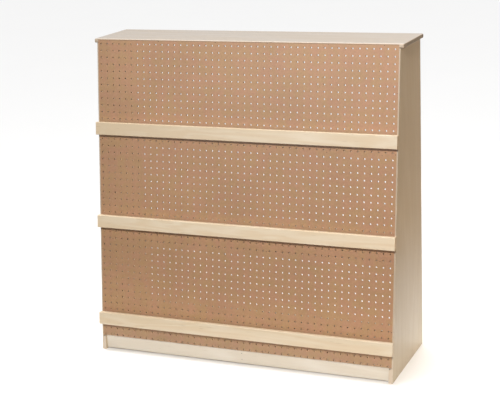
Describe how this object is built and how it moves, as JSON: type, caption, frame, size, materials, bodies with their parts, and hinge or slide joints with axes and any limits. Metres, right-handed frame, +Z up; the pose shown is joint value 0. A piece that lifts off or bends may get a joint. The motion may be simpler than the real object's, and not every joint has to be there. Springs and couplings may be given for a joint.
{
  "type": "pegboard display stand",
  "caption": "Free-standing wooden display stand: sloping perforated hardboard front with narrow ledges, overhanging top, plinth and open-backed storage compartments.",
  "frame": {"origin": "on the floor, midway across the width and midway between the front corner of the lowest ledge and the rear edges of the sides", "axes": "+X to the right seen from the front, +Y to the open back, +Z up"},
  "size_m": [1.2034, 0.4056, 1.1895],
  "materials": {
    "birch_plywood": "clear satin lacquer on birch-faced plywood",
    "maple": "clear satin lacquer on solid maple",
    "hardboard": "unpainted tempered hardboard, smooth and slightly mottled",
    "beech": "plain turned beech",
    "softwood": "sawn and planed softwood",
    "zinc_steel": "bright zinc plate"
  },
  "bodies": {
    "root": {"side_panel_left": "birch_plywood", "side_panel_right": "birch_plywood", "top_board": "birch_plywood", "upper_shelf": "birch_plywood", "middle_shelf": "birch_plywood", "base_shelf": "birch_plywood", "kick_board_front": "birch_plywood", "kick_board_rear": "birch_plywood", "base_centre_support": "birch_plywood", "pegboard_upper": "hardboard", "pegboard_middle": "hardboard", "pegboard_lower": "hardboard", "ledge_upper": "maple", "ledge_middle": "maple", "ledge_lower": "maple", "top_dowels": "beech", "upper_shelf_dowels": "beech", "middle_shelf_dowels": "beech", "base_shelf_dowels": "beech", "kick_board_dowels": "beech", "ledge_screws": "zinc_steel", "ledge_washers": "zinc_steel", "pegboard_brads": "zinc_steel", "kick_board_brads": "zinc_steel", "corner_blocks": "softwood", "corner_block_screws": "zinc_steel"}
  },
  "joints": []
}
